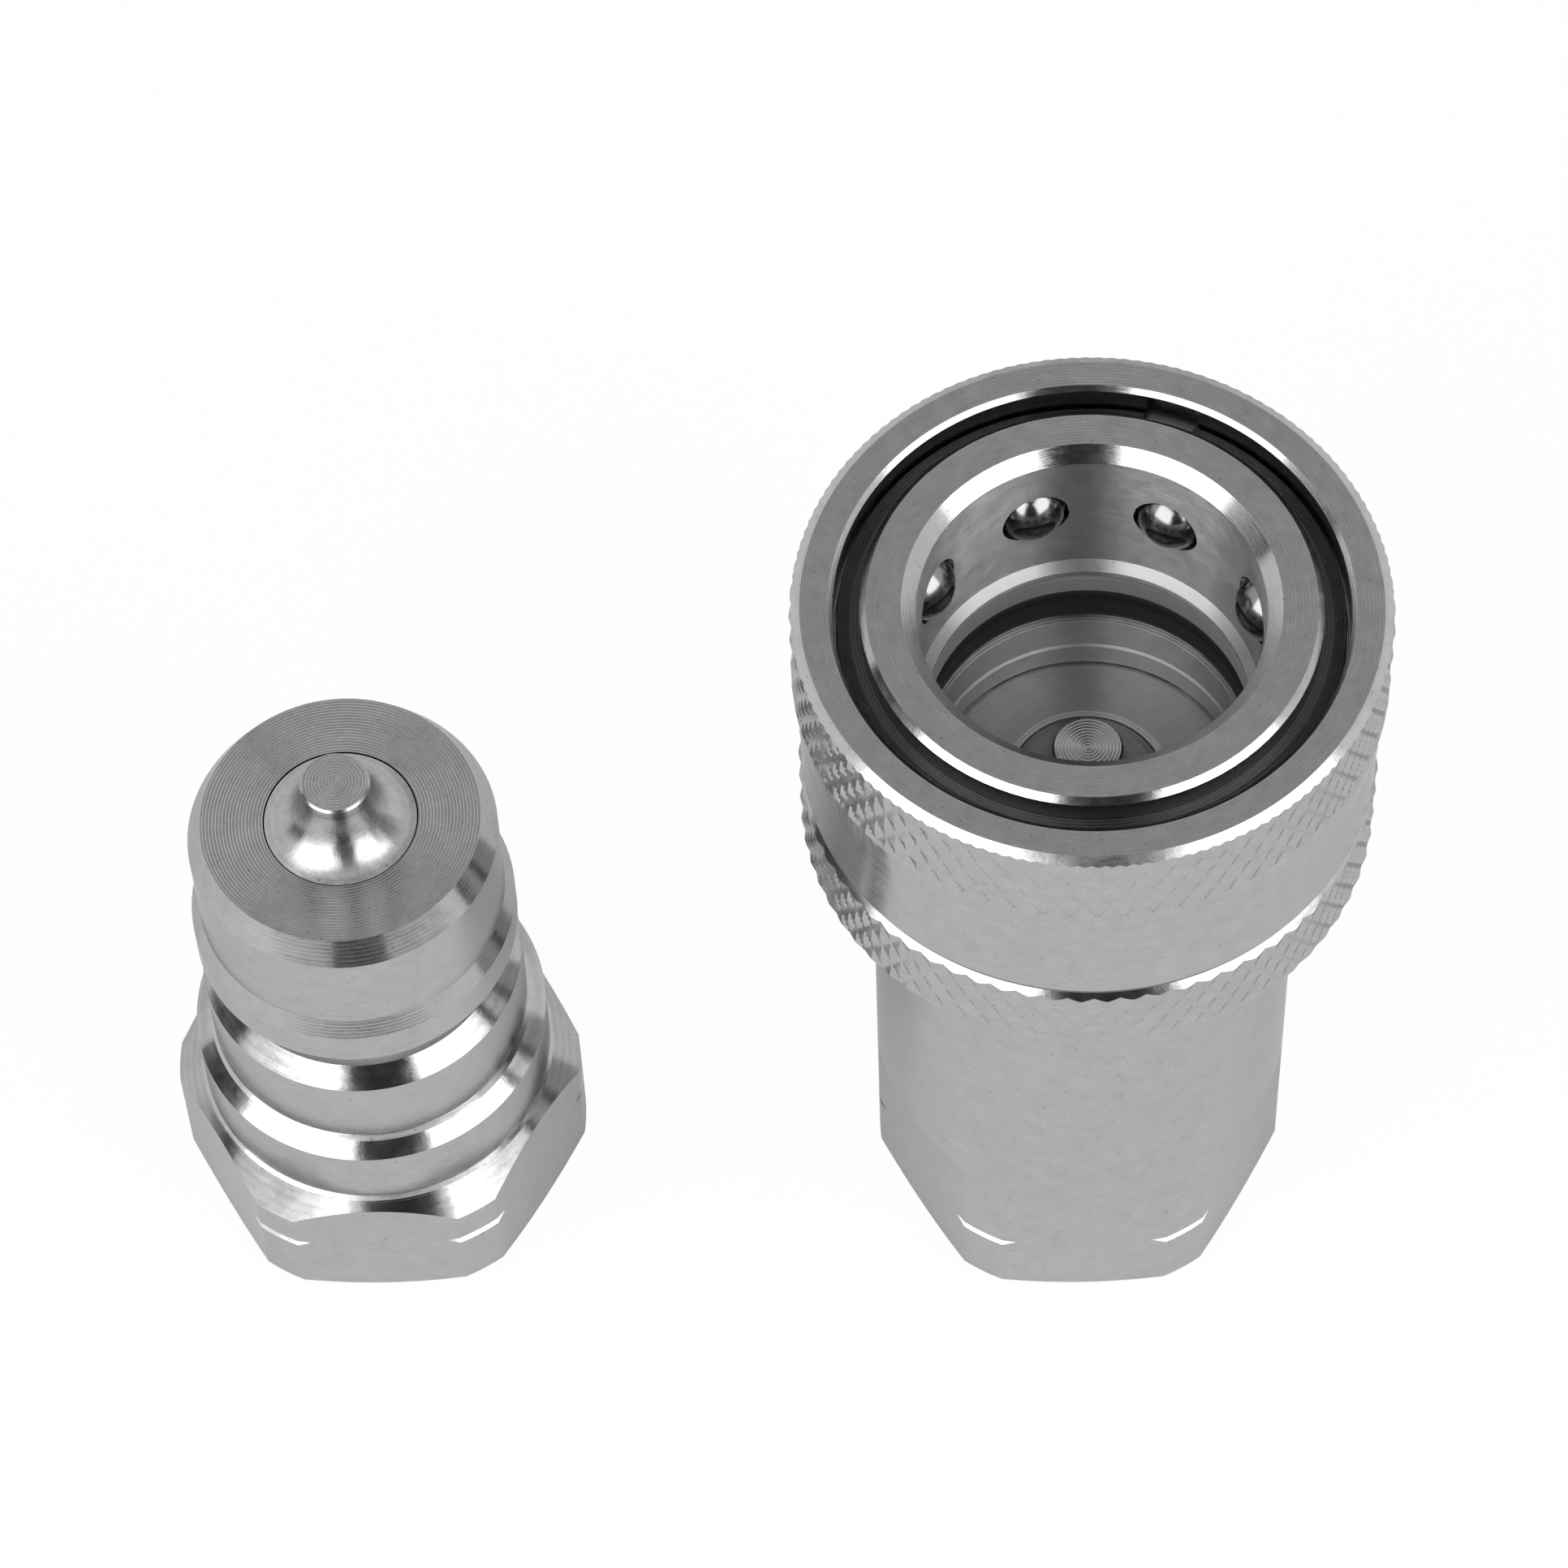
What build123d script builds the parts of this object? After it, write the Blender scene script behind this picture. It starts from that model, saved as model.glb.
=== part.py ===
from build123d import *
from math import hypot, radians, sqrt, tan
import os

# A poppet-valved quick coupling for farm hydraulics: a plug half and a socket half.
# Both stand on their port ends at z = 0. The socket's port axis is the Z axis of the frame.
# All sizes are millimetres.

# Places
PLUG_AT = (-48.8, 2.65)

# Clearances
MATING_GAP = 0.1
SLIDE_GAP = 0.1
SEAT_GAP = 0.05
RING_GAP = 0.05
FACE_GAP = 0.02
CUT_PAST = 1.0

# Plug body, radii inwards and outwards from the nose
NOSE_R = 10.25
FACE_INSET = 1.0
LAND_STEP = 0.6
COLLAR_STEP = 1.2
RELIEF = 0.2
RELIEF_WIDTH = 0.4

# Plug body, lengths stacked from the port end to the nose
HEX_LENGTH = 9.6
HEX_CONE = 1.9
COLLAR_LENGTH = 5.6
SHOULDER = 0.9
LAND_LENGTH = 6.8
GROOVE_CHAMFER = 1.3
GROOVE_LENGTH = 2.3
RIDGE_CHAMFER = 0.7
RIDGE_LENGTH = 3.0
NOSE_CONE = 1.3
NOSE_LENGTH = 7.2
NOSE_CHAMFER = 1.8

# Locking balls
BALLS = 8
BALL_R = 2.38
BALL_DEPTH = 6.3
BALL_FIRST_ANGLE = 15
BALL_STANDS_IN = 1.2
BALL_SUNK = 0.06
BALL_GROOVE_GAP = 0.15
BALL_LIP_R = 2.24
BALL_LIP = 0.25
BALL_LIP_CONE = 0.55

# Valve cartridge, the same in both halves; depths are below the valve mouth
GROOVE_WALL = 1.6
SEAT_WIDTH = 2.87
MOUTH_LAND = 1.5
GUIDE_SHOULDER = 0.6
GUIDE_DEPTH = 18.6
GUIDE_THICKNESS = 3.0
GUIDE_RIM = 1.2
GUIDE_HUB_WALL = 2.6
GUIDE_HUB_TAIL = 1.6
GUIDE_ARM = 2.2
GUIDE_ARM_ROOT = 0.5
GUIDE_ARMS = 3
TIP_R = 2.3
TIP_HEIGHT = 4.6
TIP_RIM = 1.0
TIP_CHAMFER = 0.15
NECK_R = 2.0
BELL_HOLLOW = (0.55, 0.6)
FLOW_GAP = 1.4
FLANGE_RIM = 1.5
STEM_R = 3.0
STEM_TAIL = 1.0
STEM_CHAMFER = 0.5
VALVE_SEAL_R = 0.75
VALVE_WIRE_R = 0.55
VALVE_SPRING_GAP = 1.05
VALVE_SPRING_TURNS = 6
CLIP_WIDTH = 1.6
CLIP_THICKNESS = 1.0
CLIP_GROOVE_DEPTH = 0.7
CLIP_OPENING = 50
CLIP_LUG_R = 1.0
CLIP_LUG_INSET = 4
CLIP_HOLE_R = 0.5

# Port threads, drawn as bores at the thread's major radius, and the hexagons around them
PORT_STEP = 1.83
PORT_CHAMFER = 0.4
PLUG_PORT_DEPTH = 13.0
SOCKET_PORT_DEPTH = 15.0
PORT_WALL = 2.32
FLATS = 6
FLATS_TURN = -2
FLAT_DEPTH = 1.2
SOCKET_FLAT_LENGTH = 14.5
BASE_CHAMFER = (1.4, 0.8)
MARK_Z = 6.4
MARK_DEPTH = 0.35

# Socket body, lengths down from the coupling face
SOCKET_LENGTH = 68.4
FACE_CHAMFER = 0.4
ENTRY_CHAMFER = 0.9
CAGE_BORE_LENGTH = 11.9
NOSE_BORE_CONE = 0.6
SEAL_LIP = 0.4
SEAL_LAND = 2.7
FLOOR_STEP = 2.0
FLOOR_INSET = 0.15
MOUTH_RISE = 1.4
MOUTH_RIM = 0.5

# Nose seal and its backup ring in the socket bore
SEAL_DEPTH = 2.8
SEAL_WIDTH = 3.7
SEAL_ROUND = 1.2
SEAL_PLAY = 0.5
BACKUP_WIDTH = 1.4

# Rings on the socket body
RING_GROOVE_DEPTH = 0.65
RING_OPENING = 12
RING_GAP_ANGLE = 68
STOP_RING_DEPTH = 2.0
STOP_RING_THICKNESS = 1.2
STOP_RING_WIDTH = 2.05
WASHER_RING_INSET = 0.3
WASHER_RING_THICKNESS = 1.2
WASHER_RING_WIDTH = 1.6
WASHER_THICKNESS = 1.2
CAGE_START = 1.1

# Locking sleeve, lengths down from its top face
SLEEVE_TRAVEL = 5.0
SLEEVE_STEP = 0.1
SLEEVE_RIM = 2.75
SLEEVE_TOP_CHAMFER = (0.7, 0.4)
SLEEVE_LOW_CHAMFER = 0.5
SLEEVE_MOUTH_GAP = 0.2
SLEEVE_MOUTH_CHAMFER = 0.3
UPPER_BAND_LENGTH = 6.8
WAIST_TAPER = 3.9
WAIST_LENGTH = 5.6
WAIST_INSET = 0.43
WAIST_GROOVE = 0.25
LOWER_BAND_CHAMFER = 1.1
LOWER_BAND_LENGTH = 6.0
LOWER_BAND_INSET = 0.23
LAND_BELOW_BALL = 3.4
SLEEVE_LAND_HEIGHT = 2.35
SLEEVE_WIRE_R = 0.6
SLEEVE_SPRING_GAP = 0.55
SLEEVE_SPRING_TURNS = 4

# Mating radii
FACE_R = NOSE_R - FACE_INSET
LAND_R = NOSE_R + LAND_STEP
COLLAR_R = LAND_R + COLLAR_STEP
NOSE_BORE_R = NOSE_R + MATING_GAP
CAGE_BORE_R = LAND_R + MATING_GAP
GROOVE_R = CAGE_BORE_R - BALL_STANDS_IN - BALL_GROOVE_GAP
BALL_REST_R = CAGE_BORE_R - BALL_STANDS_IN + BALL_R
BALL_HOLE_R = BALL_R + SEAT_GAP
BALL_TRAVEL = BALL_STANDS_IN + FACE_GAP
RAMP_SLOPE = BALL_TRAVEL / SLEEVE_TRAVEL
CAGE_R = BALL_REST_R + BALL_R - BALL_SUNK

# Valve, port and hexagon radii
CAVITY_R = GROOVE_R - GROOVE_WALL
MOUTH_R = CAVITY_R - SEAT_WIDTH
POPPET_R = MOUTH_R - SLIDE_GAP
FLANGE_R = CAVITY_R - FLOW_GAP
VALVE_SEAL_AT_R = (POPPET_R + FLANGE_R) / 2
VALVE_SPRING_R = STEM_R + VALVE_SPRING_GAP + VALVE_WIRE_R
GUIDE_R = CAVITY_R + GUIDE_SHOULDER
GUIDE_BORE_R = GUIDE_R + SEAT_GAP
GUIDE_HUB_R = STEM_R + GUIDE_HUB_WALL
CLIP_GROOVE_R = GUIDE_BORE_R + CLIP_GROOVE_DEPTH
PORT_R = GUIDE_BORE_R + PORT_STEP
FLAT_R = PORT_R + PORT_WALL
BAR_R = FLAT_R + FLAT_DEPTH

# Valve depths
SEAT_CONE_END_DEPTH = MOUTH_LAND + SEAT_WIDTH
SPRING_SEAT_DEPTH = MOUTH_LAND + SEAT_GAP + FLANGE_R - POPPET_R + FLANGE_RIM
CLIP_DEPTH = GUIDE_DEPTH + GUIDE_THICKNESS + FACE_GAP
STEM_END_DEPTH = GUIDE_DEPTH + GUIDE_THICKNESS + GUIDE_HUB_TAIL + STEM_TAIL

# Plug heights
COLLAR_LOW_Z = HEX_LENGTH + HEX_CONE
COLLAR_HIGH_Z = COLLAR_LOW_Z + COLLAR_LENGTH
SHOULDER_Z = COLLAR_HIGH_Z + SHOULDER
LAND_HIGH_Z = SHOULDER_Z + LAND_LENGTH
GROOVE_LOW_Z = LAND_HIGH_Z + GROOVE_CHAMFER
GROOVE_HIGH_Z = GROOVE_LOW_Z + GROOVE_LENGTH
RIDGE_LOW_Z = GROOVE_HIGH_Z + RIDGE_CHAMFER
RIDGE_HIGH_Z = RIDGE_LOW_Z + RIDGE_LENGTH
NOSE_LOW_Z = RIDGE_HIGH_Z + NOSE_CONE
NOSE_HIGH_Z = NOSE_LOW_Z + NOSE_LENGTH
PLUG_LENGTH = NOSE_HIGH_Z + NOSE_CHAMFER

# Socket heights
BALL_Z = SOCKET_LENGTH - BALL_DEPTH
STOP_RING_Z = SOCKET_LENGTH - STOP_RING_DEPTH - STOP_RING_THICKNESS
STOP_FACE_Z = STOP_RING_Z - RING_GAP
CAGE_BORE_END_Z = SOCKET_LENGTH - CAGE_BORE_LENGTH
SEAL_GROOVE_HIGH_Z = CAGE_BORE_END_Z - NOSE_BORE_CONE - SEAL_LIP
SEAL_GROOVE_LOW_Z = SEAL_GROOVE_HIGH_Z - SEAL_PLAY - BACKUP_WIDTH - SEAL_WIDTH
SEAL_R = NOSE_BORE_R + FACE_GAP
SEAL_GROOVE_R = SEAL_R + SEAL_DEPTH + SEAT_GAP
FLOOR_R = NOSE_BORE_R - FLOOR_INSET
FLOOR_STEP_Z = SEAL_GROOVE_LOW_Z - SEAL_LAND
FLOOR_Z = FLOOR_STEP_Z - FLOOR_STEP
SOCKET_MOUTH_Z = FLOOR_Z + MOUTH_RISE

# Sleeve radii and heights
RING_ROOT_R = CAGE_R - RING_GROOVE_DEPTH
RING_INNER_R = RING_ROOT_R + RING_GAP
SLEEVE_MOUTH_R = RING_INNER_R + STOP_RING_WIDTH + SLEEVE_MOUTH_GAP
SLEEVE_LAND_R = CAGE_R + SLIDE_GAP
SPRING_BORE_R = SLEEVE_LAND_R + SLEEVE_LAND_HEIGHT
SLEEVE_SPRING_R = SPRING_BORE_R - SLEEVE_SPRING_GAP - SLEEVE_WIRE_R
UPPER_BAND_R = SLEEVE_MOUTH_R + SLEEVE_RIM
WAIST_R = UPPER_BAND_R - WAIST_INSET
LOWER_BAND_R = UPPER_BAND_R - LOWER_BAND_INSET
SLEEVE_HIGH_Z = SOCKET_LENGTH - SLEEVE_STEP
UPPER_BAND_LOW_Z = SLEEVE_HIGH_Z - UPPER_BAND_LENGTH
WAIST_HIGH_Z = UPPER_BAND_LOW_Z - WAIST_TAPER
WAIST_LOW_Z = WAIST_HIGH_Z - WAIST_LENGTH
LOWER_BAND_HIGH_Z = WAIST_LOW_Z - LOWER_BAND_CHAMFER
SLEEVE_LOW_Z = LOWER_BAND_HIGH_Z - LOWER_BAND_LENGTH
LAND_LOW_Z = BALL_Z - LAND_BELOW_BALL
WASHER_RING_Z = SLEEVE_LOW_Z + WASHER_RING_INSET
WASHER_Z = WASHER_RING_Z + WASHER_RING_THICKNESS + RING_GAP
CAGE_START_Z = WASHER_RING_Z - CAGE_START


def turned(points):
    """A solid of revolution about Z from (radius, height) points."""
    return revolve(make_face(Plane.XZ * Polyline(*points, close=True)), Axis.Z)


def tube(inner_r, outer_r, low_z, high_z):
    """A plain ring about Z."""
    return turned([(inner_r, low_z), (outer_r, low_z), (outer_r, high_z), (inner_r, high_z)])


def open_ring(inner_r, outer_r, low_z, high_z, opening, at_angle):
    """A retaining ring: a plain ring with a gap of so many degrees."""
    ring = tube(inner_r, outer_r, low_z, high_z)
    reach = 2 * outer_r
    half = radians(opening / 2)
    corners = [(0, 0), (reach, -reach * tan(half)), (reach, reach * tan(half))]
    wedge = make_face(Polyline(*corners, close=True))
    wedge = extrude(Pos(0, 0, low_z - CUT_PAST) * wedge, amount=high_z - low_z + 2 * CUT_PAST)
    return ring - Rot(0, 0, at_angle) * wedge


def coil_spring(mean_r, wire_r, low_z, high_z, turns):
    """An open coil between two seats."""
    rise = high_z - low_z - 2 * wire_r
    path = Pos(0, 0, low_z + wire_r) * Helix(pitch=rise / turns, height=rise, radius=mean_r)
    section = Plane(path @ 0, z_dir=path % 0) * Circle(wire_r)
    return sweep(section, path=path)


def hex_flats(high_z, ramp):
    """Cutters for the flats; a ramp lets each flat run out at 45 degrees."""
    deep = 2 * FLAT_DEPTH
    top_z = high_z + deep if ramp else high_z
    corners = [(FLAT_R, -CUT_PAST), (FLAT_R, high_z), (FLAT_R + deep, top_z), (FLAT_R + deep, -CUT_PAST)]
    side = Polyline(*corners, close=True)
    cutter = extrude(make_face(Plane.XZ * side), amount=BAR_R, both=True)
    return [Rot(0, 0, FLATS_TURN - 90 + n * 360 / FLATS) * cutter for n in range(FLATS)]


def bar_foot():
    """The outline from the port mouth out to the bar, with its witness mark."""
    chamfer_r, chamfer_z = BASE_CHAMFER
    return [
        (PORT_R + PORT_CHAMFER, 0),
        (BAR_R - chamfer_r, 0),
        (BAR_R, chamfer_z),
        (BAR_R, MARK_Z - MARK_DEPTH),
        (BAR_R - MARK_DEPTH, MARK_Z),
        (BAR_R, MARK_Z + MARK_DEPTH),
    ]


def valve_bore(mouth_z, port_depth):
    """The bore from the valve mouth down to the port mouth."""
    clip_top = mouth_z - CLIP_DEPTH + RING_GAP
    clip_low = clip_top - CLIP_THICKNESS - 2 * RING_GAP
    return [
        (MOUTH_R, mouth_z),
        (MOUTH_R, mouth_z - MOUTH_LAND),
        (CAVITY_R, mouth_z - SEAT_CONE_END_DEPTH),
        (CAVITY_R, mouth_z - GUIDE_DEPTH + FACE_GAP),
        (GUIDE_BORE_R, mouth_z - GUIDE_DEPTH + FACE_GAP),
        (GUIDE_BORE_R, clip_top),
        (CLIP_GROOVE_R, clip_top),
        (CLIP_GROOVE_R, clip_low),
        (GUIDE_BORE_R, clip_low),
        (GUIDE_BORE_R, port_depth + PORT_R - GUIDE_BORE_R),
        (PORT_R, port_depth),
        (PORT_R, PORT_CHAMFER),
    ]


def ball_hole():
    """One radial ball hole along X, with the lip that keeps the ball in."""
    lip_end = CAGE_BORE_R + BALL_LIP
    profile = Polyline(
        (0, CAGE_BORE_R / 2),
        (BALL_LIP_R, CAGE_BORE_R / 2),
        (BALL_LIP_R, lip_end),
        (BALL_HOLE_R, lip_end + BALL_LIP_CONE),
        (BALL_HOLE_R, 2 * CAGE_R - CAGE_BORE_R),
        (0, 2 * CAGE_R - CAGE_BORE_R),
        close=True,
    )
    hole = revolve(make_face(Plane.XZ * profile), Axis.Z)
    return Pos(0, 0, BALL_Z) * Rot(0, 90, 0) * hole


def ball_angles():
    return [BALL_FIRST_ANGLE + n * 360 / BALLS for n in range(BALLS)]


def ring_groove(low_z, thickness):
    """A square groove in the cage, for a retaining ring."""
    return [
        (CAGE_R, low_z - RING_GAP),
        (RING_ROOT_R, low_z - RING_GAP),
        (RING_ROOT_R, low_z + thickness + RING_GAP),
        (CAGE_R, low_z + thickness + RING_GAP),
    ]


def socket_body():
    outline = [
        *bar_foot(),
        (BAR_R, CAGE_START_Z),
        (CAGE_R, CAGE_START_Z + CAGE_R - BAR_R),
        *ring_groove(WASHER_RING_Z, WASHER_RING_THICKNESS),
        *ring_groove(STOP_RING_Z, STOP_RING_THICKNESS),
        (CAGE_R, SOCKET_LENGTH - FACE_CHAMFER),
        (CAGE_R - FACE_CHAMFER, SOCKET_LENGTH),
        (CAGE_BORE_R + ENTRY_CHAMFER, SOCKET_LENGTH),
        (CAGE_BORE_R, SOCKET_LENGTH - ENTRY_CHAMFER),
        (CAGE_BORE_R, CAGE_BORE_END_Z),
        (NOSE_BORE_R, CAGE_BORE_END_Z - NOSE_BORE_CONE),
        (NOSE_BORE_R, SEAL_GROOVE_HIGH_Z),
        (SEAL_GROOVE_R, SEAL_GROOVE_HIGH_Z),
        (SEAL_GROOVE_R, SEAL_GROOVE_LOW_Z),
        (NOSE_BORE_R, SEAL_GROOVE_LOW_Z),
        (NOSE_BORE_R, FLOOR_STEP_Z),
        (FLOOR_R, FLOOR_STEP_Z - FLOOR_INSET),
        (FLOOR_R, FLOOR_Z),
        (MOUTH_R + MOUTH_RIM, SOCKET_MOUTH_Z),
        *valve_bore(SOCKET_MOUTH_Z, SOCKET_PORT_DEPTH),
    ]
    body = turned(outline)
    body -= hex_flats(SOCKET_FLAT_LENGTH, ramp=True)
    hole = ball_hole()
    return body - [Rot(0, 0, angle) * hole for angle in ball_angles()]


def locking_sleeve():
    """Two knurled bands outside; inside, the land that holds the balls in and the ramp that frees them."""
    envelope_r = BALL_REST_R + BALL_R * hypot(1, RAMP_SLOPE) + SEAT_GAP
    ramp_low_z = BALL_Z - (envelope_r - SLEEVE_LAND_R) / RAMP_SLOPE
    ramp_high_r = SLEEVE_LAND_R + (STOP_FACE_Z - ramp_low_z) * RAMP_SLOPE
    chamfer_r, chamfer_z = SLEEVE_TOP_CHAMFER
    outline = [
        (SPRING_BORE_R, SLEEVE_LOW_Z),
        (LOWER_BAND_R - SLEEVE_LOW_CHAMFER, SLEEVE_LOW_Z),
        (LOWER_BAND_R, SLEEVE_LOW_Z + SLEEVE_LOW_CHAMFER),
        (LOWER_BAND_R, LOWER_BAND_HIGH_Z),
        (WAIST_R - WAIST_GROOVE, WAIST_LOW_Z - WAIST_GROOVE),
        (WAIST_R, WAIST_LOW_Z),
        (WAIST_R, WAIST_HIGH_Z),
        (UPPER_BAND_R, UPPER_BAND_LOW_Z),
        (UPPER_BAND_R, SLEEVE_HIGH_Z - chamfer_z),
        (UPPER_BAND_R - chamfer_r, SLEEVE_HIGH_Z),
        (SLEEVE_MOUTH_R + SLEEVE_MOUTH_CHAMFER, SLEEVE_HIGH_Z),
        (SLEEVE_MOUTH_R, SLEEVE_HIGH_Z - SLEEVE_MOUTH_CHAMFER),
        (SLEEVE_MOUTH_R, STOP_FACE_Z),
        (ramp_high_r, STOP_FACE_Z),
        (SLEEVE_LAND_R, ramp_low_z),
        (SLEEVE_LAND_R, LAND_LOW_Z),
        (SPRING_BORE_R, LAND_LOW_Z),
    ]
    return turned(outline)


def locking_ball(angle):
    return Rot(0, 0, angle) * Pos(BALL_REST_R, 0, BALL_Z) * Sphere(BALL_R)


def sleeve_spring():
    low_z = WASHER_Z + WASHER_THICKNESS + FACE_GAP
    high_z = LAND_LOW_Z - FACE_GAP
    return coil_spring(SLEEVE_SPRING_R, SLEEVE_WIRE_R, low_z, high_z, SLEEVE_SPRING_TURNS)


def spring_washer():
    return tube(CAGE_R + SLIDE_GAP, SPRING_BORE_R - SLIDE_GAP, WASHER_Z, WASHER_Z + WASHER_THICKNESS)


def washer_ring():
    outer_r = RING_INNER_R + WASHER_RING_WIDTH
    top_z = WASHER_RING_Z + WASHER_RING_THICKNESS
    return open_ring(RING_INNER_R, outer_r, WASHER_RING_Z, top_z, RING_OPENING, RING_GAP_ANGLE)


def sleeve_stop_ring():
    outer_r = RING_INNER_R + STOP_RING_WIDTH
    top_z = STOP_RING_Z + STOP_RING_THICKNESS
    return open_ring(RING_INNER_R, outer_r, STOP_RING_Z, top_z, RING_OPENING, RING_GAP_ANGLE)


def nose_seal():
    """The black ring in the bore, rounded where it faces the nose."""
    low_z = SEAL_GROOVE_LOW_Z + FACE_GAP
    ring = tube(SEAL_R, SEAL_R + SEAL_DEPTH, low_z, low_z + SEAL_WIDTH)
    inner_edges = ring.edges().filter_by(GeomType.CIRCLE).sort_by(SortBy.RADIUS)[:2]
    return fillet(inner_edges, SEAL_ROUND)


def backup_ring():
    low_z = SEAL_GROOVE_LOW_Z + SEAL_WIDTH + 2 * FACE_GAP
    return tube(SEAL_R, SEAL_R + SEAL_DEPTH, low_z, low_z + BACKUP_WIDTH)


def poppet(mouth_z):
    """Tip, bell-shaped neck, sealing cone, flange and guide stem, turned in one piece."""
    neck_z = TIP_HEIGHT - TIP_RIM
    cone_z = -MOUTH_LAND - SEAT_GAP
    flange_z = cone_z - (FLANGE_R - POPPET_R)
    hollow_r, hollow_z = BELL_HOLLOW
    bell_mid = ((NECK_R + POPPET_R) / 2 - hollow_r, neck_z / 2 - hollow_z)
    tip = Polyline(
        (0, TIP_HEIGHT),
        (TIP_R - TIP_CHAMFER, TIP_HEIGHT),
        (TIP_R, TIP_HEIGHT - TIP_CHAMFER),
        (TIP_R, neck_z),
        (NECK_R, neck_z - (TIP_R - NECK_R)),
    )
    bell = ThreePointArc(tip @ 1, bell_mid, (POPPET_R, -SEAT_GAP))
    rest = Polyline(
        (POPPET_R, -SEAT_GAP),
        (POPPET_R, cone_z),
        (FLANGE_R, flange_z),
        (FLANGE_R, -SPRING_SEAT_DEPTH),
        (STEM_R, -SPRING_SEAT_DEPTH),
        (STEM_R, -STEM_END_DEPTH + STEM_CHAMFER),
        (STEM_R - STEM_CHAMFER, -STEM_END_DEPTH),
        (0, -STEM_END_DEPTH),
        (0, TIP_HEIGHT),
    )
    profile = make_face(Plane.XZ * Curve([*tip.edges(), bell, *rest.edges()]))
    shape = revolve(profile, Axis.Z) - valve_seal_at(0, VALVE_SEAL_R + FACE_GAP)
    return Pos(0, 0, mouth_z) * shape


def valve_seal_at(mouth_z, wire_r):
    """The seal stands out of the poppet's 45 degree cone without reaching the seat."""
    cone_z = -MOUTH_LAND - SEAT_GAP - (VALVE_SEAL_AT_R - POPPET_R)
    sunk = (VALVE_SEAL_R - SEAT_GAP) / sqrt(2)
    return Pos(0, 0, mouth_z + cone_z - sunk) * Torus(VALVE_SEAL_AT_R - sunk, wire_r)


def valve_spring(mouth_z):
    low_z = mouth_z - GUIDE_DEPTH + FACE_GAP
    high_z = mouth_z - SPRING_SEAT_DEPTH - FACE_GAP
    return coil_spring(VALVE_SPRING_R, VALVE_WIRE_R, low_z, high_z, VALVE_SPRING_TURNS)


def valve_guide(mouth_z):
    """A spider: an outer rim in the bore, three arms and a hub that guides the stem."""
    top_z = mouth_z - GUIDE_DEPTH
    low_z = top_z - GUIDE_THICKNESS
    rim = tube(GUIDE_R - GUIDE_RIM, GUIDE_R, low_z, top_z)
    hub = tube(STEM_R + SEAT_GAP, GUIDE_HUB_R, low_z - GUIDE_HUB_TAIL, top_z)
    middle_r = (GUIDE_HUB_R + GUIDE_R - GUIDE_RIM) / 2
    arm_length = GUIDE_R - GUIDE_RIM - GUIDE_HUB_R + 2 * GUIDE_ARM_ROOT
    arm = Pos(middle_r, 0, (low_z + top_z) / 2) * Box(arm_length, GUIDE_ARM, GUIDE_THICKNESS)
    return rim + hub + [Rot(0, 0, 90 + n * 360 / GUIDE_ARMS) * arm for n in range(GUIDE_ARMS)]


def guide_ring(mouth_z):
    """An internal retaining ring with two lugs for the pliers."""
    top_z = mouth_z - CLIP_DEPTH
    low_z = top_z - CLIP_THICKNESS
    outer_r = CLIP_GROOVE_R - RING_GAP
    inner_r = outer_r - CLIP_WIDTH
    ring = open_ring(inner_r, outer_r, low_z, top_z, CLIP_OPENING, -90)
    lug = Pos(inner_r + CLIP_LUG_R / 2, 0, (low_z + top_z) / 2) * Cylinder(CLIP_LUG_R, CLIP_THICKNESS)
    hole = Pos(inner_r + CLIP_LUG_R / 2, 0, (low_z + top_z) / 2) * Cylinder(CLIP_HOLE_R, 2 * CLIP_THICKNESS)
    lug_angle = CLIP_OPENING / 2 + CLIP_LUG_INSET
    ends = [-90 - lug_angle, -90 + lug_angle]
    return ring + [Rot(0, 0, a) * lug for a in ends] - [Rot(0, 0, a) * hole for a in ends]


def plug_body():
    outline = [
        *bar_foot(),
        (BAR_R, HEX_LENGTH),
        (COLLAR_R + RELIEF, COLLAR_LOW_Z),
        (COLLAR_R - RELIEF, COLLAR_LOW_Z + RELIEF),
        (COLLAR_R, COLLAR_LOW_Z + 2 * RELIEF),
        (COLLAR_R, COLLAR_HIGH_Z),
        (LAND_R + RELIEF, SHOULDER_Z),
        (LAND_R - RELIEF, SHOULDER_Z + RELIEF),
        (LAND_R - RELIEF, SHOULDER_Z + RELIEF_WIDTH),
        (LAND_R, SHOULDER_Z + RELIEF_WIDTH + RELIEF),
        (LAND_R, LAND_HIGH_Z),
        (GROOVE_R, GROOVE_LOW_Z),
        (GROOVE_R, GROOVE_HIGH_Z),
        (LAND_R - RELIEF, RIDGE_LOW_Z),
        (LAND_R, RIDGE_LOW_Z + RELIEF),
        (LAND_R, RIDGE_HIGH_Z),
        (NOSE_R, NOSE_LOW_Z),
        (NOSE_R, NOSE_HIGH_Z),
        (FACE_R, PLUG_LENGTH),
        *valve_bore(PLUG_LENGTH, PLUG_PORT_DEPTH),
    ]
    return turned(outline) - hex_flats(COLLAR_LOW_Z - RELIEF, ramp=False)


def valve_parts(half, mouth_z):
    """The five pieces of one valve cartridge."""
    return {
        f"{half}_poppet": poppet(mouth_z),
        f"{half}_poppet_seal": valve_seal_at(mouth_z, VALVE_SEAL_R),
        f"{half}_poppet_spring": valve_spring(mouth_z),
        f"{half}_valve_guide": valve_guide(mouth_z),
        f"{half}_guide_ring": guide_ring(mouth_z),
    }


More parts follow.
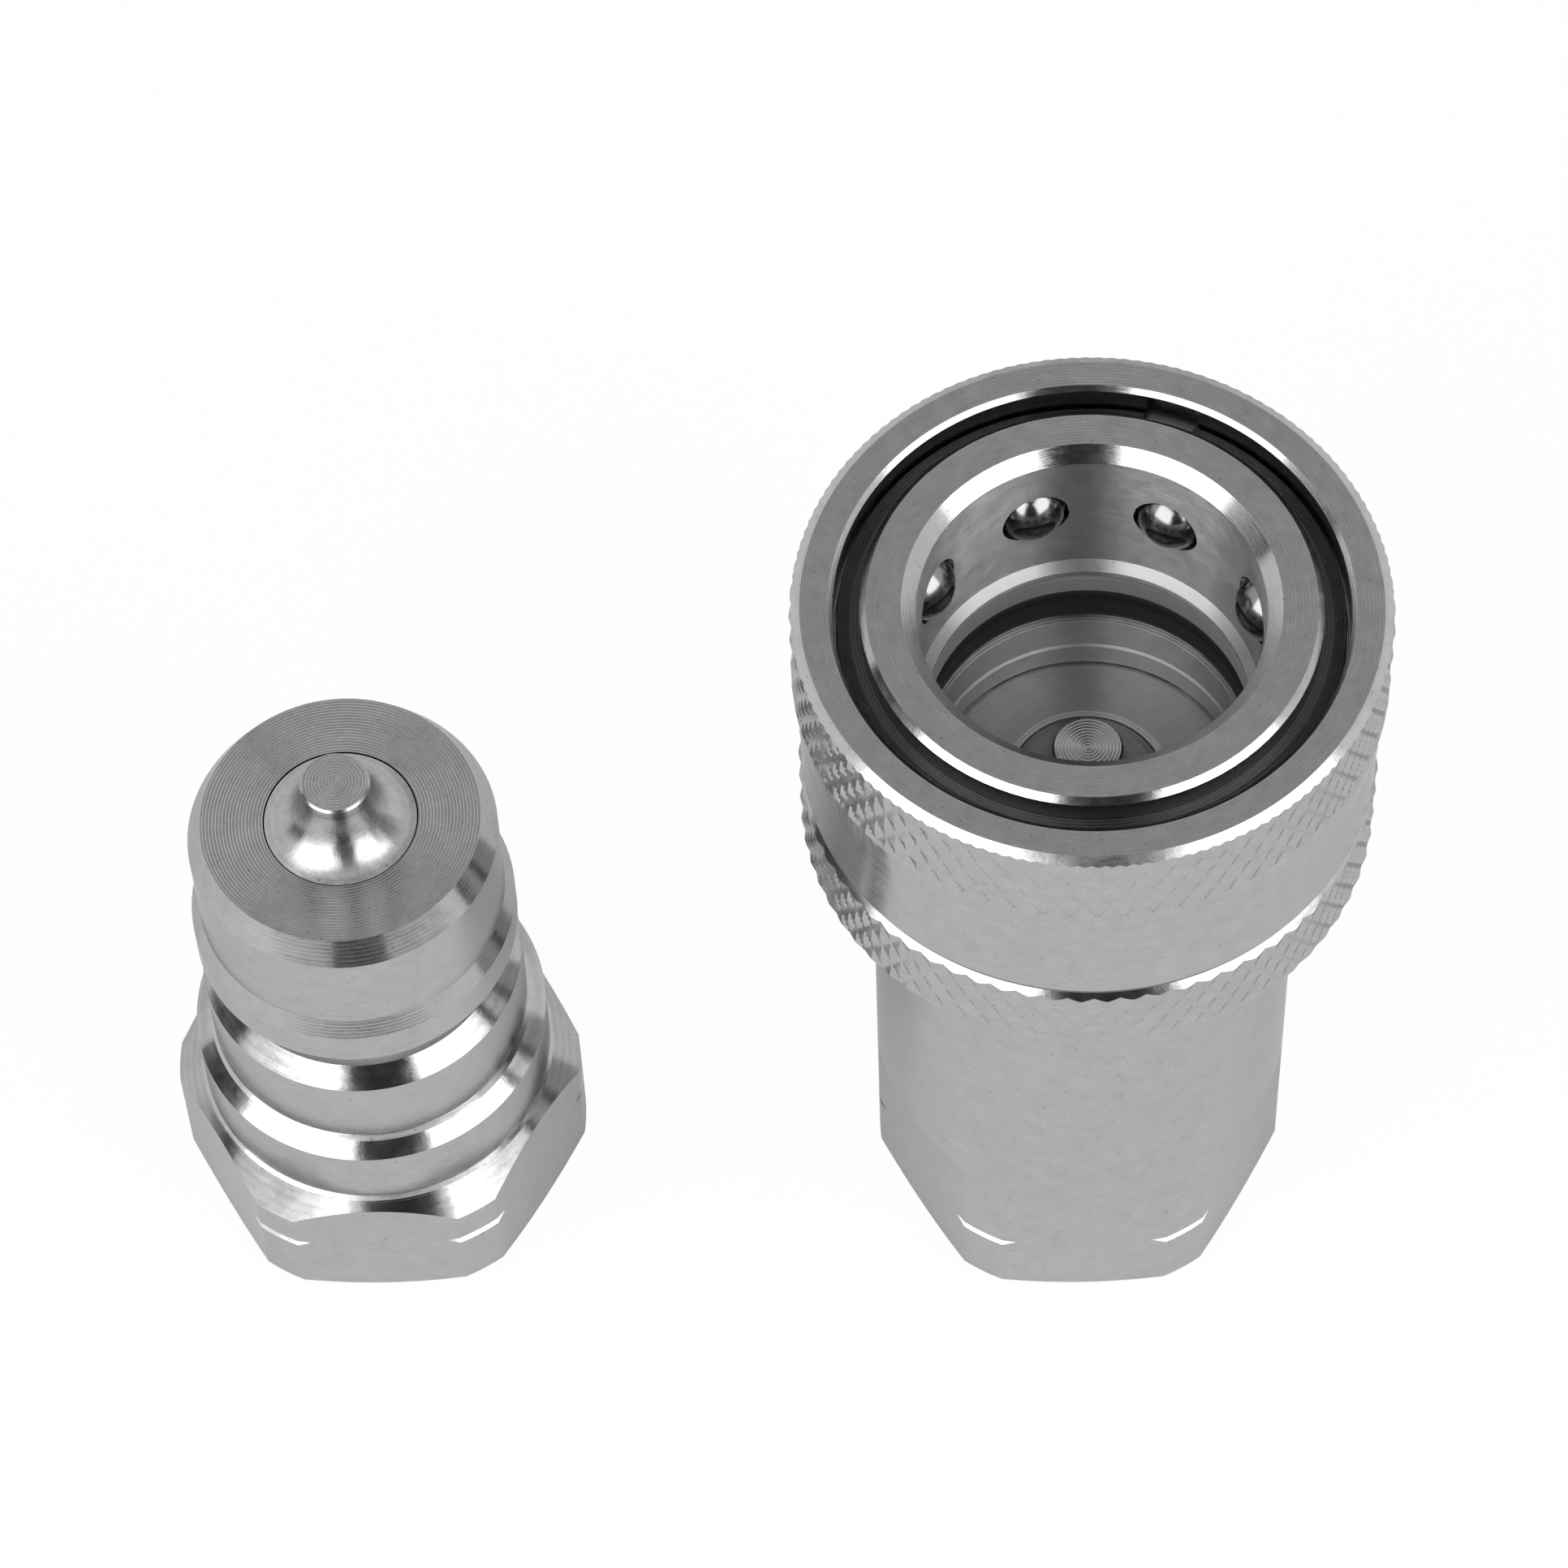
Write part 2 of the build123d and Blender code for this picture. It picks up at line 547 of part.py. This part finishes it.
def socket_half():
    pieces = {
        "socket_body": socket_body(),
        "locking_sleeve": locking_sleeve(),
        "sleeve_spring": sleeve_spring(),
        "spring_washer": spring_washer(),
        "washer_ring": washer_ring(),
        "sleeve_stop_ring": sleeve_stop_ring(),
        "nose_seal": nose_seal(),
        "backup_ring": backup_ring(),
    }
    for number, angle in enumerate(ball_angles(), start=1):
        pieces[f"locking_ball_{number}"] = locking_ball(angle)
    pieces.update(valve_parts("socket", SOCKET_MOUTH_Z))
    return pieces


def plug_half():
    pieces = {"plug_body": plug_body()}
    pieces.update(valve_parts("plug", PLUG_LENGTH))
    return {name: Pos(*PLUG_AT, 0) * piece for name, piece in pieces.items()}


os.makedirs("parts", exist_ok=True)
print("hexagon across flats", round(2 * FLAT_R, 3), "on round bar", round(2 * BAR_R, 3))
print("balls move", round(RAMP_SLOPE, 4), "mm out for each mm of the sleeve's", SLEEVE_TRAVEL)
for node, shape in {**socket_half(), **plug_half()}.items():
    export_step(shape, f"parts/{node}.step")
    print(node, round(shape.volume, 2))
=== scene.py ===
import math

import bmesh
import bpy
from mathutils import Matrix, Vector


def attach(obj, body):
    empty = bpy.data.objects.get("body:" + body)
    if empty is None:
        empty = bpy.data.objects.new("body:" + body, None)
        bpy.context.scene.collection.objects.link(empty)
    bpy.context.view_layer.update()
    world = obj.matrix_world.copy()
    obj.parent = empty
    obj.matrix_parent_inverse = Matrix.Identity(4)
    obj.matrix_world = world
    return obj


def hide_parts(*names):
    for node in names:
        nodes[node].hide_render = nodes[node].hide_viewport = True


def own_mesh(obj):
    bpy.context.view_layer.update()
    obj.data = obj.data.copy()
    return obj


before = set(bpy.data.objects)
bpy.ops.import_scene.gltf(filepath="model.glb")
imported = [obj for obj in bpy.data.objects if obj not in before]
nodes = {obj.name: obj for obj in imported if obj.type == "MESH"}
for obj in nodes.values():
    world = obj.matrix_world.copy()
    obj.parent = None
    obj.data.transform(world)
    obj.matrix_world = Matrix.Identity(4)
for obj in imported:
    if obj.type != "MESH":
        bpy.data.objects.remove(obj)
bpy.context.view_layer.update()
mm = 0.001
print("frame loaded with", len(nodes), "CAD nodes")


class Wire:
    # a shader socket that adds Math nodes where it stands in an expression
    def __init__(self, net, socket):
        self.net = net
        self.socket = socket

    def combine(self, operation, first, second):
        return self.net.add("ShaderNodeMath", {"operation": operation}, [first, second])

    def __add__(self, other):
        return self.combine("ADD", self, other)

    def __radd__(self, other):
        return self.combine("ADD", other, self)

    def __sub__(self, other):
        return self.combine("SUBTRACT", self, other)

    def __rsub__(self, other):
        return self.combine("SUBTRACT", other, self)

    def __mul__(self, other):
        return self.combine("MULTIPLY", self, other)

    def __rmul__(self, other):
        return self.combine("MULTIPLY", other, self)

    def __gt__(self, other):
        return self.combine("GREATER_THAN", self, other)

    def __lt__(self, other):
        return self.combine("LESS_THAN", self, other)


class Net:
    # the nodes of one material, or of the world
    def __init__(self, owner):
        owner.use_nodes = True
        self.owner = owner
        self.tree = owner.node_tree
        self.tree.nodes.clear()

    def add(self, kind, settings=None, inputs=None, output=0):
        node = self.tree.nodes.new(kind)
        for name, value in (settings or {}).items():
            setattr(node, name, value)
        pairs = inputs.items() if isinstance(inputs, dict) else enumerate(inputs or [])
        for name, value in pairs:
            if isinstance(value, Wire):
                self.tree.links.new(value.socket, node.inputs[name])
            else:
                node.inputs[name].default_value = value
        return Wire(self, node.outputs[output]) if len(node.outputs) else None

    def split(self, vector):
        # x, y and z of a vector
        first = self.add("ShaderNodeSeparateXYZ", {}, [vector])
        return [Wire(self, part) for part in first.socket.node.outputs]

    def surface(self, shader):
        self.add("ShaderNodeOutputMaterial", {}, {"Surface": shader})
        return self.owner


def newMaterial(name):
    return Net(bpy.data.materials.new(name))


def grey(shade):
    return (shade, shade, shade, 1)


cameraSettings = {
    "place": (-0.0196164, -0.2153128, 0.4068745),
    "tilt": 90 - 59.00846,  # degrees, from the fit to the photo
    "roll": -2.82809,
    "lens": 148.5818, "sensor": 36,
    "nearest": 0.01, "farthest": 20,
}


def makeCamera(s):
    data = bpy.data.cameras.new("camera")
    data.lens = s["lens"]
    data.sensor_width = s["sensor"]
    data.sensor_fit = "AUTO"
    data.clip_start = s["nearest"]
    data.clip_end = s["farthest"]
    camera = bpy.data.objects.new("camera", data)
    tilt = Matrix.Rotation(math.radians(s["tilt"]), 4, "X")
    roll = Matrix.Rotation(math.radians(s["roll"]), 4, "Z")
    camera.matrix_world = Matrix.Translation(s["place"]) @ (tilt @ roll)
    bpy.context.scene.collection.objects.link(camera)
    bpy.context.scene.camera = camera


lightSettings = {
    "worldGrey": 0.38,  # what the world gives as light; seen or mirrored it is white
    "lamps": [
        {"name": "leftLamp", "towards": (-0.56, -0.50, 0.66), "size": (0.95, 0.75), "glow": 2.75},
        {"name": "rightLamp", "towards": (0.60, -0.47, 0.65), "size": (0.85, 0.72), "glow": 2.75},
    ],
}


def panelPlace(towards, distance=1.0):
    # a panel at that distance in that direction, turned to the object
    back = Vector(towards).normalized()
    return Matrix.Translation(back * distance) @ back.to_track_quat("Z", "Y").to_matrix().to_4x4()


def makeLamps(s):
    for lamp in s["lamps"]:
        data = bpy.data.lights.new(lamp["name"], "AREA")
        data.shape = "RECTANGLE"
        data.size, data.size_y = lamp["size"]
        data.energy = lamp["glow"] * math.pi * data.size * data.size_y
        light = bpy.data.objects.new(lamp["name"], data)
        light.matrix_world = panelPlace(lamp["towards"])
        bpy.context.scene.collection.objects.link(light)


def rayKinds(net):
    kinds = ("Is Camera Ray", "Is Glossy Ray", "Is Transmission Ray")
    return [net.add("ShaderNodeLightPath", output=kind) for kind in kinds]


def makeWorld(s):
    world = bpy.data.worlds.new("studio")
    bpy.context.scene.world = world
    net = Net(world)
    seen, glossy, through = rayKinds(net)
    shown = net.add("ShaderNodeMath", {"operation": "MAXIMUM"}, [seen, glossy])
    shown = net.add("ShaderNodeMath", {"operation": "MAXIMUM"}, [shown, through])
    strength = shown * (1 - s["worldGrey"]) + s["worldGrey"]
    back = net.add("ShaderNodeBackground", {}, {"Color": grey(1), "Strength": strength})
    net.add("ShaderNodeOutputWorld", {}, {"Surface": back})


stageSettings = {
    "floorSize": 6, "floorDrop": 0.0002, "floorGrey": 0.93,
    "floorSeen": 0.96, "floorReflected": 0.15,  # shares of plain white in what the camera and the metal see
    "cards": [
        {"name": "frontCard", "towards": (0.055, -0.90, 0.44), "size": (0.6, 1.54), "shade": 0.03},
        {"name": "backCard", "towards": (0, 0.37, 0.93), "size": (0.95, 1.3), "shade": 0.48},
        {"name": "leftCard", "towards": (-0.97, 0.02, 0.22), "size": (0.5, 0.36), "shade": 0.06},
        {"name": "floorStrip", "place": (0.04, -0.585, 0.001), "size": (0.56, 0.85), "shade": 0.28},
    ],
}


def flatPanel(name, width, depth, matrix, material):
    mesh = bpy.data.meshes.new(name)
    shape = bmesh.new()
    bmesh.ops.create_grid(shape, x_segments=1, y_segments=1, size=0.5)
    bmesh.ops.scale(shape, vec=(width, depth, 1), verts=shape.verts)
    bmesh.ops.transform(shape, matrix=matrix, verts=shape.verts)
    shape.to_mesh(mesh)
    shape.free()
    mesh.materials.append(material)
    made = bpy.data.objects.new(name, mesh)
    bpy.context.scene.collection.objects.link(made)
    return made


def makeFloor(s):
    net = newMaterial("whiteFloor")
    matte = net.add("ShaderNodeBsdfDiffuse", {}, {"Color": grey(s["floorGrey"])})
    glow = net.add("ShaderNodeEmission", {}, {"Color": grey(1), "Strength": 1.0})
    seen, glossy, through = rayKinds(net)
    share = seen * s["floorSeen"] + (glossy + through) * s["floorReflected"]
    material = net.surface(net.add("ShaderNodeMixShader", {}, {0: share, 1: matte, 2: glow}))
    drop = Matrix.Translation((0, 0, -s["floorDrop"]))
    flatPanel("studioFloor", s["floorSize"], s["floorSize"], drop, material)


def makeCards(s):
    # dull panels that only the metal mirrors
    for card in s["cards"]:
        net = newMaterial(card["name"])
        shade = net.add("ShaderNodeEmission", {}, {"Color": grey(card["shade"]), "Strength": 1.0})
        place = Matrix.Translation(card["place"]) if "place" in card else panelPlace(card["towards"])
        panel = flatPanel(card["name"], *card["size"], place, net.surface(shade))
        panel.visible_camera = False
        panel.visible_shadow = False
        panel.visible_diffuse = False


makeCamera(cameraSettings)
makeLamps(lightSettings)
makeWorld(lightSettings)
makeFloor(stageSettings)
makeCards(stageSettings)
bpy.context.scene.view_settings.view_transform = "Standard"
print("camera, lamps and floor ready")


plugAxis = (-0.0488, 0.00265)
zincSettings = {
    "grey": 0.435, "rough": 0.17, "roughSpread": 0.12, "stretch": 0.5, "rim": 0.8,
    "pitch": 0.22, "climb": 1.37, "ridge": 0.12, "flatRidge": 2.0, "flatFrom": 0.97, "linesFrom": 0,
    "streakAround": 14, "streakAcross": 4.5, "streakDrift": 40, "streak": 0.9, "broad": 1.1, "wave": 0.6,
    "mottle": 700, "grain": 3200, "grainBump": 0.4, "speckFrom": 0.68, "speckShade": 0.14,
    "lineShade": 0.12, "mottleShade": 0.14, "waveShade": 0.04, "bump": 0.3, "bumpDepth": 0.00002,
    "boreR": 11.3, "boreLow": 45.3, "boreHigh": 67.45,  # mm, where the cage's bore holds its duller, rougher finish and a lighter colour that is painted light
    "boreLighter": 0.09, "boreRough": 0.39, "boreStretch": 0.95,
}
steelSettings = dict(zincSettings, grey=0.4, rough=0.26, lineShade=0.2, bump=0.35, boreR=0)
ringSettings = dict(
    zincSettings, grey=0.042, rough=0.28, lineShade=0.03, mottleShade=0.03, waveShade=0, speckShade=-0.05,
    boreR=15.1, boreHigh=90, boreLighter=0.05, boreRough=0.38,
)
wireSettings = dict(
    zincSettings, grey=0.36, rough=0.3, streak=0.1, ridge=0, flatRidge=0, wave=0, lineShade=0.02, bump=0.05,
    boreR=0, stretch=0,
)


def patches(net, place, scale, detail, rough=0.6):
    return net.add("ShaderNodeTexNoise", {"noise_dimensions": "3D"}, {
        "Vector": place, "Scale": scale, "Detail": detail, "Roughness": rough,
    })


def turnedMetal(name, axis, s):
    # fine lines follow radius plus height, so that they run round every face, bore and cone
    net = newMaterial(name)
    place = net.add("ShaderNodeTexCoord", output="Object")
    x, y, z = net.split(place)
    x, y = x - axis[0], y - axis[1]
    normalUp = net.split(net.add("ShaderNodeTexCoord", output="Normal"))[2]
    flat = normalUp > s["flatFrom"]
    radius = net.add("ShaderNodeMath", {"operation": "SQRT"}, [x * x + y * y])
    angle = net.add("ShaderNodeMath", {"operation": "ARCTAN2"}, [y, x])
    run = (radius + z * s["climb"]) * (1 / mm)
    ridge = net.add("ShaderNodeMath", {"operation": "SINE"}, [run * (math.tau / s["pitch"])])
    around = net.add("ShaderNodeCombineXYZ", {}, [
        angle * s["streakAround"], run * s["streakAcross"], z * s["streakDrift"],
    ])
    streak = patches(net, around, 1.0, 4, 0.65)
    broad = net.add("ShaderNodeTexNoise", {"noise_dimensions": "1D"}, {
        "W": run * s["broad"], "Detail": 2, "Roughness": 0.6,
    })
    mottle = patches(net, place, s["mottle"], 4)
    grain = patches(net, place, s["grain"], 3)
    specks = grain > s["speckFrom"]

    lines = ridge * (flat * s["flatRidge"] + s["ridge"]) + streak * s["streak"] + broad * s["wave"]
    lines = lines * (z > s["linesFrom"] * mm)
    bump = net.add("ShaderNodeBump", {}, {
        "Strength": s["bump"], "Distance": s["bumpDepth"], "Height": lines + grain * s["grainBump"],
    })
    shade = (streak - 0.5) * s["lineShade"] + (mottle - 0.5) * s["mottleShade"]
    shade = shade + (ridge * 0.5 + broad - 0.5) * s["waveShade"]
    shade = shade - specks * s["speckShade"] + s["grey"]
    rough = (mottle - 0.5) * s["roughSpread"] + (streak - 0.5) * s["roughSpread"]

    def metal(tone, base, stretch):
        return net.add("ShaderNodeBsdfPrincipled", {}, {
            "Base Color": net.add("ShaderNodeCombineColor", {}, [tone, tone, tone]),
            "Metallic": 1.0, "Roughness": rough + base, "Normal": bump,
            "Anisotropic": stretch, "Anisotropic Rotation": 0.25, "Specular Tint": grey(s["rim"]),
        })

    outside = metal(shade, s["rough"], s["stretch"])
    # inside boreR the colour is set lighter; in the cage's bore that lighter colour is painted light,
    # standing in for light reaching in
    bore = metal(shade + s["boreLighter"], s["boreRough"], s["boreStretch"])
    inner = (radius < s["boreR"] * mm) * (z > s["boreLow"] * mm) * (z < s["boreHigh"] * mm)
    return net.surface(net.add("ShaderNodeMixShader", {}, {0: inner, 1: outside, 2: bore}))


def plainFinish(name, s):
    # a fine mottle and faint grain, for what isn't turned on a lathe
    net = newMaterial(name)
    place = net.add("ShaderNodeTexCoord", output="Object")
    grain = patches(net, place, s["grain"], 5)
    shade = (grain - 0.5) * s["shadeSpread"] + s["grey"]
    bump = net.add("ShaderNodeBump", {}, {"Strength": s["bump"], "Distance": 0.00001, "Height": grain})
    shader = net.add("ShaderNodeBsdfPrincipled", {}, {
        "Base Color": net.add("ShaderNodeCombineColor", {}, [shade, shade, shade]),
        "Metallic": s["metal"], "Roughness": (grain - 0.5) * s["roughSpread"] + s["rough"],
        "Normal": bump,
    })
    return net.surface(shader)


finishes = {
    "socketZinc": turnedMetal("socketZinc", (0, 0), dict(zincSettings, flatRidge=1.1)),
    "plugZinc": turnedMetal("plugZinc", plugAxis, dict(zincSettings, linesFrom=11.4)),
    "socketSteel": turnedMetal("socketSteel", (0, 0), steelSettings),
    "plugSteel": turnedMetal("plugSteel", plugAxis, steelSettings),
    "springSteel": turnedMetal("springSteel", (0, 0), wireSettings),
    "blackRing": turnedMetal("blackRing", (0, 0), ringSettings),
    # the balls' grey is set dark: painted shade, standing in for the dim bore they sit in and mirror
    "ballSteel": plainFinish("ballSteel", {
        "grey": 0.24, "shadeSpread": 0.06, "metal": 1.0, "rough": 0.17, "roughSpread": 0.08,
        "grain": 1500, "bump": 0.04,
    }),
    "sealRubber": plainFinish("sealRubber", {
        "grey": 0.014, "shadeSpread": 0.014, "metal": 0.0, "rough": 0.5, "roughSpread": 0.2,
        "grain": 2500, "bump": 0.3,
    }),
    "backupPlastic": plainFinish("backupPlastic", {
        "grey": 0.34, "shadeSpread": 0.1, "metal": 0.0, "rough": 0.5, "roughSpread": 0.2,
        "grain": 1600, "bump": 0.2,
    }),
}
finishOf = {
    "socket_body": "socketZinc", "plug_body": "plugZinc", "locking_sleeve": "socketZinc",
    "spring_washer": "socketSteel", "washer_ring": "springSteel", "sleeve_stop_ring": "blackRing",
    "nose_seal": "sealRubber", "backup_ring": "backupPlastic",
    "socket_poppet": "socketSteel", "socket_poppet_seal": "sealRubber",
    "socket_valve_guide": "socketSteel", "socket_guide_ring": "springSteel",
    "plug_poppet": "plugSteel", "plug_poppet_seal": "sealRubber",
    "plug_valve_guide": "plugSteel", "plug_guide_ring": "springSteel",
    **{f"locking_ball_{n}": "ballSteel" for n in range(1, 9)},
}
for nodeName, finish in finishOf.items():
    for slot in nodes[nodeName].material_slots:
        slot.material = finishes[finish]
print("finishes ready:", len(finishes))


def meshObject(name, shape, finish, sharpFrom=None):
    # a smooth-shaded piece, with hard edges from that angle in degrees up
    mesh = bpy.data.meshes.new(name)
    shape.to_mesh(mesh)
    shape.free()
    mesh.shade_smooth()
    if sharpFrom:
        mesh.set_sharp_from_angle(angle=math.radians(sharpFrom))
    mesh.materials.append(finishes[finish])
    made = bpy.data.objects.new(name, mesh)
    bpy.context.scene.collection.objects.link(made)
    return made


def spunShell(points, steps):
    # a closed outline of (radius, height) points in mm, turned once about Z
    shape = bmesh.new()
    ring = [shape.verts.new((r * mm, 0, z * mm)) for r, z in points]
    edges = [shape.edges.new((a, b)) for a, b in zip(ring, ring[1:] + ring[:1])]
    bmesh.ops.spin(shape, geom=ring + edges, cent=(0, 0, 0), axis=(0, 0, 1), angle=math.tau, steps=steps,
                   use_merge=True)
    bmesh.ops.remove_doubles(shape, verts=shape.verts, dist=0.000001)
    bmesh.ops.recalc_face_normals(shape, faces=shape.faces)
    return shape


sleeveSettings = {
    "low": 44.9, "high": 68.3, "topInset": 0.7, "lowChamfer": 0.5,
    "upper": {"low": 61.5, "high": 67.9, "r": 18.85, "rows": 18},
    "lower": {"low": 45.4, "high": 50.9, "r": 18.62, "rows": 16},
    "waistR": 18.42, "waistLow": 52.0, "waistHigh": 57.6, "waistGroove": 0.25, "fade": 0.3, "ledge": 0.45,
    "springBoreR": 16.9, "landR": 14.55, "landLow": 58.7, "rampLow": 61.77, "rampHighR": 15.37,
    "stopFace": 65.15, "mouthR": 16.1, "mouthChamfer": 0.3,
    "diamonds": 70, "perDiamond": 8, "depth": 0.17, "round": 1.25, "shallowEnd": 0.4,
    "sharpFrom": 9,
}
near = 0.01  # mm, how close a point lies to the row it belongs to


def bandRows(band):
    rise = band["high"] - band["low"]
    return [(band["r"], band["low"] + rise * n / band["rows"]) for n in range(band["rows"] + 1)]


def sleeveOutline(s):
    upper, lower = s["upper"], s["lower"]
    taper = (upper["r"] - s["waistR"]) / (upper["low"] - s["waistHigh"])
    grooveR = s["waistR"] - s["waistGroove"]
    outside = [
        (lower["r"] - s["lowChamfer"], s["low"]),
        *bandRows(lower),
        (grooveR, lower["high"] + s["ledge"]),
        (grooveR, s["waistLow"] - s["waistGroove"]),
        (s["waistR"], s["waistLow"]),
        (s["waistR"], s["waistHigh"]),
        (upper["r"] - s["fade"] * taper, upper["low"] - s["fade"]),
        *bandRows(upper),
        (upper["r"] - s["topInset"], s["high"]),
    ]
    inside = [
        (s["mouthR"] + s["mouthChamfer"], s["high"]),
        (s["mouthR"], s["high"] - s["mouthChamfer"]),
        (s["mouthR"], s["stopFace"]),
        (s["rampHighR"], s["stopFace"]),
        (s["landR"], s["rampLow"]),
        (s["landR"], s["landLow"]),
        (s["springBoreR"], s["landLow"]),
    ]
    return [(s["springBoreR"], s["low"]), *outside, *inside]


def cutKnurl(shape, s, band, above, below):
    # digs the grooves between diamonds; above and below are the slopes its end rows slide along, 0 is none
    pitch = (band["high"] - band["low"]) / band["rows"] * s["perDiamond"]
    for vert in shape.verts:
        z = vert.co.z / mm
        r = math.hypot(vert.co.x, vert.co.y) / mm
        if abs(r - band["r"]) > near or not band["low"] - near < z < band["high"] + near:
            continue
        around = math.atan2(vert.co.y, vert.co.x) / math.tau * s["diamonds"]
        along = (z - band["low"]) / pitch
        slopes = [0.5 - abs((turn % 1) - 0.5) for turn in (around + along, around - along)]
        dig = s["depth"] * (1 - 2 * min(slopes)) ** s["round"]
        atLow = z < band["low"] + near
        if atLow and not below:
            dig *= s["shallowEnd"]
        vert.co.x *= (r - dig) / r
        vert.co.y *= (r - dig) / r
        if z > band["high"] - near:
            vert.co.z += above * dig * mm
        elif atLow:
            vert.co.z -= below * dig * mm


def makeSleeve(s):
    upper, lower = s["upper"], s["lower"]
    shape = spunShell(sleeveOutline(s), s["diamonds"] * s["perDiamond"])
    topSlope = (s["high"] - upper["high"]) / s["topInset"]
    ledgeSlope = s["ledge"] / (lower["r"] - s["waistR"] + s["waistGroove"])
    cutKnurl(shape, s, upper, topSlope, 0)
    cutKnurl(shape, s, lower, ledgeSlope, 1)
    made = meshObject("knurled_sleeve", shape, "socketZinc", s["sharpFrom"])
    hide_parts("locking_sleeve")
    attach(made, "sleeve")
    print("sleeve:", len(made.data.polygons), "faces")


makeSleeve(sleeveSettings)

springForm = {"aroundWire": 12, "perTurn": 48}
coilSettings = [
    {"name": "sleeve_coil", "node": "sleeve_spring", "joint": "sleeve_slide",
     "axis": (0, 0), "r": 15.75, "wire": 0.6, "low": 47.67, "high": 58.68, "turns": 4, "keep": 0.546},
    {"name": "socket_poppet_coil", "node": "socket_poppet_spring", "joint": "socket_valve_slide",
     "axis": (0, 0), "r": 4.6, "wire": 0.55, "low": 28.02, "high": 41.96, "turns": 6, "keep": 0.641},
    {"name": "plug_poppet_coil", "node": "plug_poppet_spring", "joint": "plug_valve_slide",
     "axis": plugAxis, "r": 4.6, "wire": 0.55, "low": 23.82, "high": 37.76, "turns": 6, "keep": 0.641},
]


def makeSpring(s, form):
    # wire is the radius of the wire; keep, the share of its length at the joint's end, is not used
    shape = bmesh.new()
    bmesh.ops.create_circle(shape, cap_ends=True, segments=form["aroundWire"], radius=s["wire"] * mm)
    place = Matrix.Translation((s["r"] * mm, 0, (s["low"] + s["wire"]) * mm))
    bmesh.ops.transform(shape, matrix=place @ Matrix.Rotation(math.pi / 2, 4, "X"), verts=shape.verts)
    steps = s["turns"] * form["perTurn"]
    rise = (s["high"] - s["low"] - 2 * s["wire"]) * mm
    bmesh.ops.spin(shape, geom=shape.faces[:], cent=(0, 0, 0), axis=(0, 0, 1), dvec=(0, 0, rise / steps),
                   angle=math.tau * s["turns"], steps=steps)
    bmesh.ops.translate(shape, vec=(*s["axis"], 0), verts=shape.verts)
    bmesh.ops.recalc_face_normals(shape, faces=shape.faces)
    made = meshObject(s["name"], shape, "springSteel")
    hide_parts(s["node"])
    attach(made, "halves")
    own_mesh(made)


for coil in coilSettings:
    makeSpring(coil, springForm)
print("springs ready")

threadForm = {
    "rootR": 10.5, "crestR": 9.32, "pitch": 1.814, "crest": 0.34, "root": 1.5, "perTurn": 96, "sharpFrom": 30,
}
threadSettings = [
    {"name": "socket_port_thread", "axis": (0, 0), "low": 0.9, "turns": 7, "finish": "socketZinc"},
    {"name": "plug_port_thread", "axis": plugAxis, "low": 0.9, "turns": 6, "finish": "plugZinc"},
]


def makeThread(s, form):
    # the ridge of a G 1/2 thread, sunk a hair into the bore's wall
    shape = bmesh.new()
    half, tip = form["root"] / 2, form["crest"] / 2
    corners = [(form["rootR"], -half), (form["crestR"], -tip), (form["crestR"], tip), (form["rootR"], half)]
    middle = s["low"] + half
    start = shape.faces.new([shape.verts.new((r * mm, 0, (middle + z) * mm)) for r, z in corners])
    bmesh.ops.spin(shape, geom=[start], cent=(0, 0, 0), axis=(0, 0, 1),
                   dvec=(0, 0, form["pitch"] / form["perTurn"] * mm),
                   angle=math.tau * s["turns"], steps=s["turns"] * form["perTurn"])
    bmesh.ops.translate(shape, vec=(*s["axis"], 0), verts=shape.verts)
    bmesh.ops.recalc_face_normals(shape, faces=shape.faces)
    made = meshObject(s["name"], shape, s["finish"], form["sharpFrom"])
    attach(made, "halves")


for thread in threadSettings:
    makeThread(thread, threadForm)
print("port threads ready")
